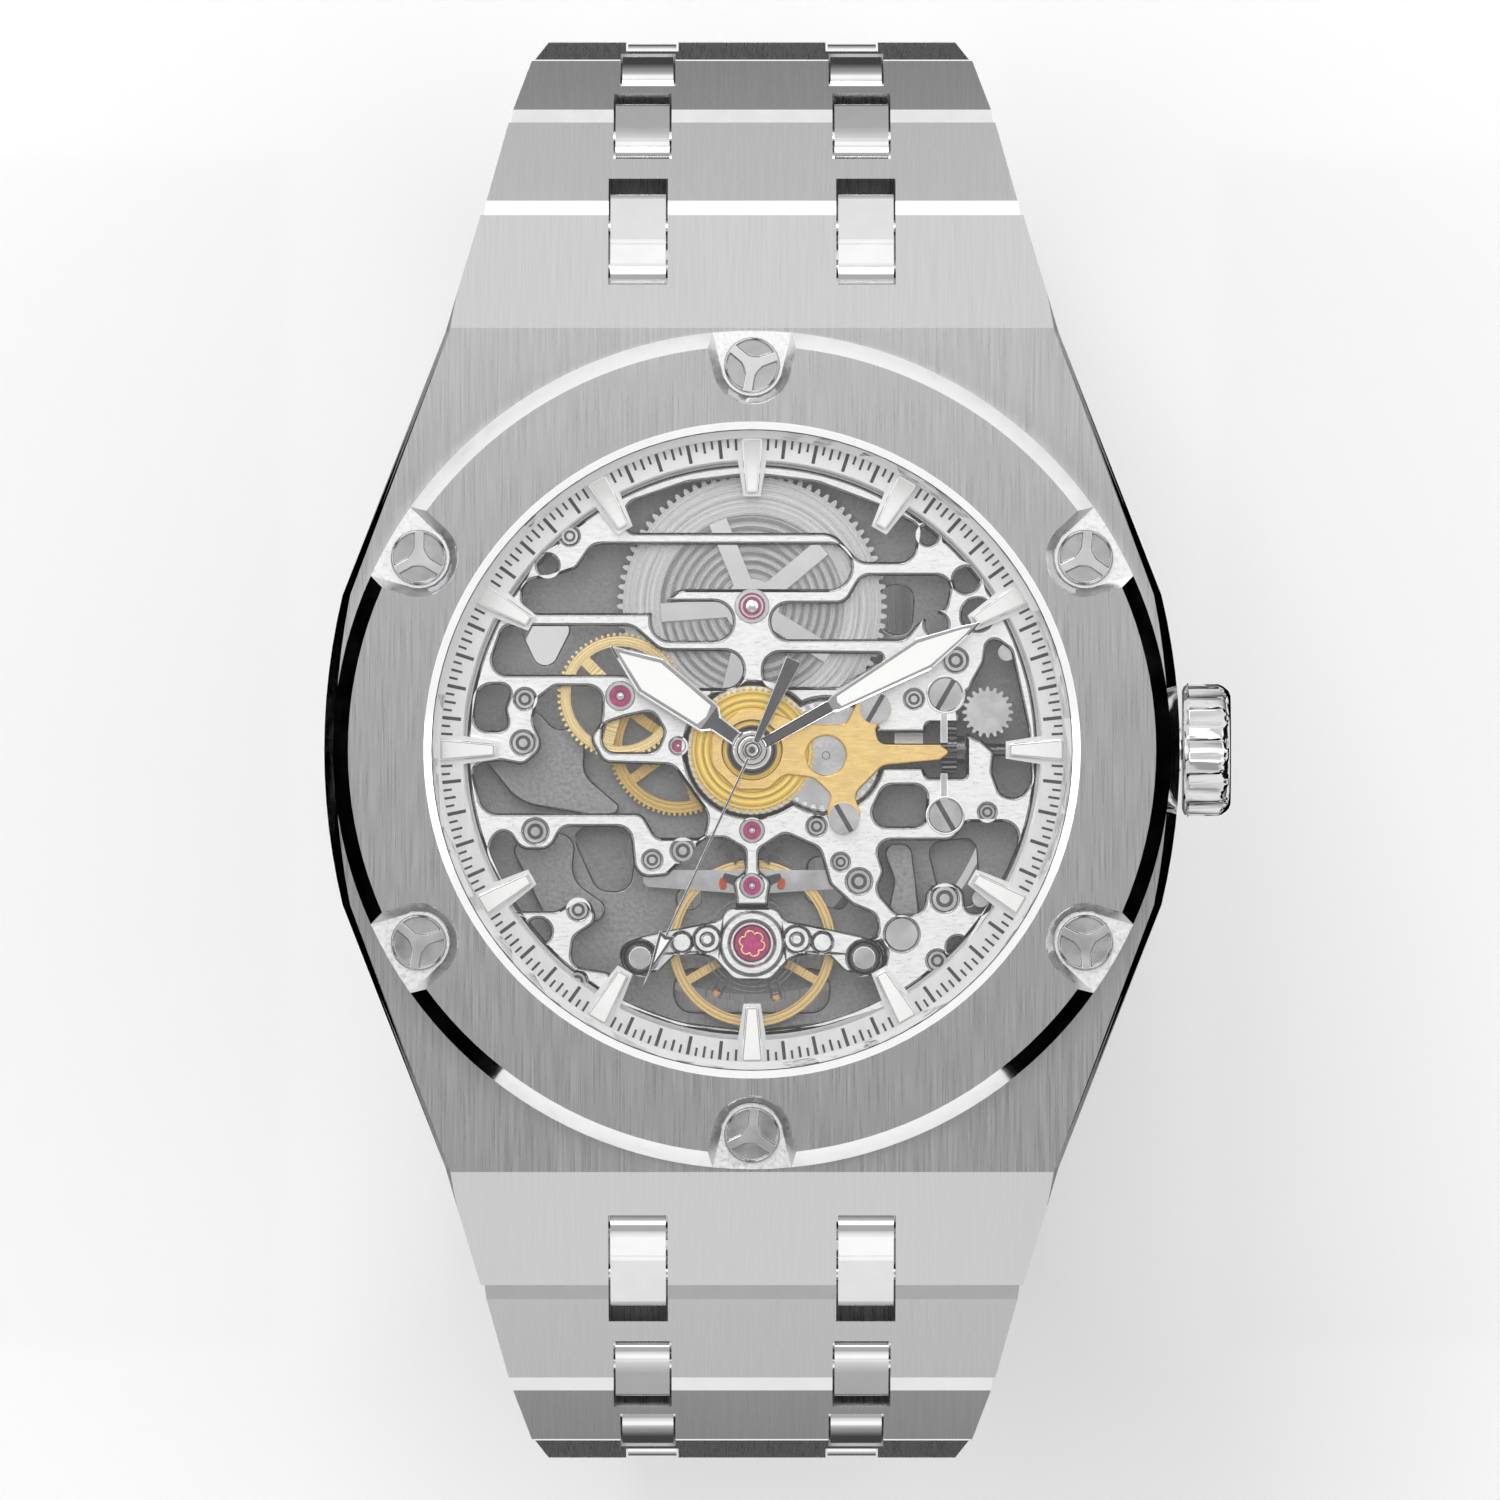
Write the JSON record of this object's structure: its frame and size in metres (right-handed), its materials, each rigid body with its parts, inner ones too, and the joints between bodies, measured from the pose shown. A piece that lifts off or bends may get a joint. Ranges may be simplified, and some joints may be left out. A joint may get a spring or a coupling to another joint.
{
  "type": "skeleton wristwatch",
  "caption": "Steel skeleton wristwatch with a round screwed bezel on a tonneau case, an open-worked movement, lume-filled hands and an integrated link bracelet with a folding clasp.",
  "frame": {"origin": "centre of the case back's outer face, on the axis of the hands", "axes": "+Z out through the crystal, +Y towards 12 o'clock, +X towards the crown"},
  "size_m": [0.0445, 0.0704, 0.0496],
  "materials": {
    "brushed_steel": "straight-grained, with polished bevels",
    "polished_steel": "mirror polished",
    "movement_steel": "rhodium grey, fine straight grain, bevelled edges",
    "frosted_steel": "frosted grey",
    "gilt": "gilt, circular grain",
    "gilt_polished": "gilt, polished",
    "steel_dark": "polished blackened steel",
    "spring_steel": "polished spring strip",
    "ruby": "translucent synthetic ruby",
    "sapphire": "clear, anti-reflective",
    "ring_silver": "satin silver with a printed minute scale",
    "lume": "white luminous filling in a steel frame",
    "hand_steel": "polished, with white filling",
    "gasket": "pale nylon"
  },
  "bodies": {
    "case": {"case_middle": "brushed_steel", "bezel": "brushed_steel", "bezel_screws": "polished_steel", "crystal": "sapphire", "crystal_gasket": "gasket", "case_back": "brushed_steel", "case_back_glass": "sapphire", "crown_tube": "polished_steel", "movement_holder": "movement_steel", "chapter_ring": "ring_silver", "hour_markers": "lume", "mainplate": "movement_steel", "rear_bridge": "frosted_steel", "setting_bridge": "frosted_steel", "movement_screws": "polished_steel", "jewels": "ruby", "bearings_and_posts": "polished_steel", "balance_bridge": "movement_steel", "motion_bridge": "gilt_polished", "hairspring": "spring_steel"},
    "minute_arbor": {"minute_hand": "hand_steel", "centre_wheel": "gilt"},
    "hour_arbor": {"hour_hand": "hand_steel", "hour_wheel": "gilt"},
    "seconds_arbor": {"seconds_hand": "hand_steel", "fourth_wheel": "gilt"},
    "barrel": {"barrel": "movement_steel", "mainspring": "spring_steel"},
    "ratchet_wheel": {"ratchet_wheel": "movement_steel"},
    "third_wheel": {"third_wheel": "gilt"},
    "escape_wheel": {"escape_wheel": "steel_dark"},
    "pallet_fork": {"pallet_fork": "steel_dark"},
    "balance_wheel": {"balance_wheel": "gilt"},
    "minute_wheel": {"minute_wheel": "movement_steel"},
    "reduction_wheel": {"reduction_wheel": "gilt"},
    "rotor": {"rotor": "frosted_steel"},
    "setting_lever": {"setting_lever": "movement_steel"},
    "winding_crown": {"winding_crown": "polished_steel", "winding_stem": "steel_dark"},
    "sliding_pinion": {"sliding_pinion": "steel_dark"},
    "setting_wheel": {"setting_wheel": "movement_steel"},
    "link_12_1": {"link_12_1": "brushed_steel"},
    "link_12_2": {"link_12_2": "brushed_steel"},
    "link_12_3": {"link_12_3": "brushed_steel"},
    "link_12_4": {"link_12_4": "brushed_steel"},
    "link_12_5": {"link_12_5": "brushed_steel"},
    "link_12_6": {"link_12_6": "brushed_steel"},
    "link_12_7": {"link_12_7": "brushed_steel"},
    "link_6_1": {"link_6_1": "brushed_steel"},
    "link_6_2": {"link_6_2": "brushed_steel"},
    "link_6_3": {"link_6_3": "brushed_steel"},
    "link_6_4": {"link_6_4": "brushed_steel"},
    "link_6_5": {"link_6_5": "brushed_steel"},
    "link_6_6": {"link_6_6": "brushed_steel"},
    "link_6_7": {"link_6_7": "brushed_steel"},
    "clasp_cover": {"clasp_cover": "brushed_steel"},
    "clasp_inner_blade": {"clasp_inner_blade": "brushed_steel"},
    "clasp_outer_blade": {"clasp_outer_blade": "brushed_steel"},
    "clasp_button_crown_side": {"clasp_button_crown_side": "polished_steel"},
    "clasp_button_far_side": {"clasp_button_far_side": "polished_steel"}
  },
  "joints": [
    {"name": "minute_turn", "type": "hinge", "parent": "case", "child": "minute_arbor", "pos_m": [0, 0, 0.0066], "axis": [0, 0, -1], "continuous": true},
    {"name": "hour_turn", "type": "hinge", "parent": "case", "child": "hour_arbor", "pos_m": [0, 0, 0.0069], "axis": [0, 0, -1], "continuous": true},
    {"name": "seconds_turn", "type": "hinge", "parent": "case", "child": "seconds_arbor", "pos_m": [0, 0, 0.004], "axis": [0, 0, -1], "continuous": true},
    {"name": "barrel_turn", "type": "hinge", "parent": "case", "child": "barrel", "pos_m": [0, 0.00706, 0.0045], "axis": [0, 0, -1], "continuous": true},
    {"name": "third_turn", "type": "hinge", "parent": "case", "child": "third_wheel", "pos_m": [-0.00363, 0.0002, 0.004], "axis": [0, 0, -1], "continuous": true},
    {"name": "escape_turn", "type": "hinge", "parent": "case", "child": "escape_wheel", "pos_m": [0, -0.00395, 0.005], "axis": [0, 0, -1], "continuous": true},
    {"name": "motion_turn", "type": "hinge", "parent": "case", "child": "minute_wheel", "pos_m": [0.00363, -0.00027, 0.0068], "axis": [0, 0, -1], "continuous": true},
    {"name": "pallet_rock", "type": "hinge", "parent": "case", "child": "pallet_fork", "pos_m": [0, -0.00667, 0.005], "axis": [0, 0, -1], "range_deg": [-6, 6]},
    {"name": "balance_swing", "type": "hinge", "parent": "case", "child": "balance_wheel", "pos_m": [0, -0.0095, 0.005], "axis": [0, 0, -1], "range_deg": [-150, 150], "stiffness_Nm_per_rad": 0.0000003},
    {"name": "reduction_turn", "type": "hinge", "parent": "case", "child": "reduction_wheel", "pos_m": [-0.00647, 0.00265, 0.0057], "axis": [0, 0, -1], "continuous": true},
    {"name": "rotor_turn", "type": "hinge", "parent": "case", "child": "rotor", "pos_m": [0, 0, 0.0016], "axis": [0, 0, -1], "continuous": true},
    {"name": "setting_wheel_turn", "type": "hinge", "parent": "case", "child": "setting_wheel", "pos_m": [0.01157, 0.00186, 0.0066], "axis": [0, 0, -1], "continuous": true},
    {"name": "crown_pull", "type": "slide", "parent": "case", "child": "setting_lever", "axis": [1, 0, 0], "range_m": [0, 0.0008]},
    {"name": "crown_turn", "type": "hinge", "parent": "setting_lever", "child": "winding_crown", "pos_m": [0.022, 0, 0.0056], "axis": [1, 0, 0], "continuous": true},
    {"name": "sliding_pinion_turn", "type": "hinge", "parent": "case", "child": "sliding_pinion", "pos_m": [0.0098, 0, 0.0056], "axis": [1, 0, 0], "continuous": true},
    {"name": "ratchet_turn", "type": "hinge", "parent": "case", "child": "ratchet_wheel", "pos_m": [0, 0.00706, 0.0037], "axis": [0, 0, -1], "continuous": true},
    {"name": "link_12_1_bend", "type": "hinge", "parent": "case", "child": "link_12_1", "pos_m": [0, 0.02364, 0.00471], "axis": [1, 0, 0], "range_deg": [0, 15]},
    {"name": "link_12_2_bend", "type": "hinge", "parent": "link_12_1", "child": "link_12_2", "pos_m": [0, 0.0291, -0.0018], "axis": [1, 0, 0], "range_deg": [0, 13]},
    {"name": "link_12_3_bend", "type": "hinge", "parent": "link_12_2", "child": "link_12_3", "pos_m": [0, 0.03228, -0.00804], "axis": [1, 0, 0], "range_deg": [0, 17]},
    {"name": "link_12_4_bend", "type": "hinge", "parent": "link_12_3", "child": "link_12_4", "pos_m": [0, 0.0335, -0.01493], "axis": [1, 0, 0], "range_deg": [0, 15]},
    {"name": "link_12_5_bend", "type": "hinge", "parent": "link_12_4", "child": "link_12_5", "pos_m": [0, 0.03289, -0.0219], "axis": [1, 0, 0], "range_deg": [0, 17]},
    {"name": "link_12_6_bend", "type": "hinge", "parent": "link_12_5", "child": "link_12_6", "pos_m": [0, 0.03027, -0.02839], "axis": [1, 0, 0], "range_deg": [0, 18]},
    {"name": "link_12_7_bend", "type": "hinge", "parent": "link_12_6", "child": "link_12_7", "pos_m": [0, 0.02577, -0.03376], "axis": [1, 0, 0], "range_deg": [0, 20]},
    {"name": "link_6_1_bend", "type": "hinge", "parent": "case", "child": "link_6_1", "pos_m": [0, -0.02364, 0.00471], "axis": [-1, 0, 0], "range_deg": [0, 15]},
    {"name": "link_6_2_bend", "type": "hinge", "parent": "link_6_1", "child": "link_6_2", "pos_m": [0, -0.0291, -0.0018], "axis": [-1, 0, 0], "range_deg": [0, 13]},
    {"name": "link_6_3_bend", "type": "hinge", "parent": "link_6_2", "child": "link_6_3", "pos_m": [0, -0.03228, -0.00804], "axis": [-1, 0, 0], "range_deg": [0, 17]},
    {"name": "link_6_4_bend", "type": "hinge", "parent": "link_6_3", "child": "link_6_4", "pos_m": [0, -0.0335, -0.01493], "axis": [-1, 0, 0], "range_deg": [0, 15]},
    {"name": "link_6_5_bend", "type": "hinge", "parent": "link_6_4", "child": "link_6_5", "pos_m": [0, -0.03289, -0.0219], "axis": [-1, 0, 0], "range_deg": [0, 17]},
    {"name": "link_6_6_bend", "type": "hinge", "parent": "link_6_5", "child": "link_6_6", "pos_m": [0, -0.03027, -0.02839], "axis": [-1, 0, 0], "range_deg": [0, 18]},
    {"name": "link_6_7_bend", "type": "hinge", "parent": "link_6_6", "child": "link_6_7", "pos_m": [0, -0.02577, -0.03376], "axis": [-1, 0, 0], "range_deg": [0, 20]},
    {"name": "clasp_cover_bend", "type": "hinge", "parent": "link_12_7", "child": "clasp_cover", "pos_m": [0, 0.0197, -0.03726], "axis": [1, 0, 0], "range_deg": [0, 30]},
    {"name": "clasp_inner_blade_fold", "type": "hinge", "parent": "clasp_cover", "child": "clasp_inner_blade", "pos_m": [0, -0.0126, -0.03671], "axis": [1, 0, 0], "range_deg": [0, 95]},
    {"name": "clasp_outer_blade_fold", "type": "hinge", "parent": "clasp_inner_blade", "child": "clasp_outer_blade", "pos_m": [0, 0.0117, -0.03606], "axis": [-1, 0, 0], "range_deg": [0, 80]},
    {"name": "clasp_button_crown_side_press", "type": "slide", "parent": "clasp_cover", "child": "clasp_button_crown_side", "axis": [-1, 0, 0], "range_m": [0, 0.0006], "stiffness_N_per_m": 400},
    {"name": "clasp_button_far_side_press", "type": "slide", "parent": "clasp_cover", "child": "clasp_button_far_side", "axis": [1, 0, 0], "range_m": [0, 0.0006], "stiffness_N_per_m": 400}
  ],
  "couplings": [
    {"joint": "hour_turn", "follows": "minute_turn", "ratio": 0.083333},
    {"joint": "motion_turn", "follows": "minute_turn", "ratio": -0.41667},
    {"joint": "barrel_turn", "follows": "minute_turn", "ratio": -0.083333},
    {"joint": "third_turn", "follows": "minute_turn", "ratio": -4.5},
    {"joint": "seconds_turn", "follows": "minute_turn", "ratio": 60},
    {"joint": "escape_turn", "follows": "minute_turn", "ratio": -360},
    {"joint": "sliding_pinion_turn", "follows": "crown_turn", "ratio": 1},
    {"joint": "ratchet_turn", "follows": "crown_turn", "ratio": 0.375}
  ]
}
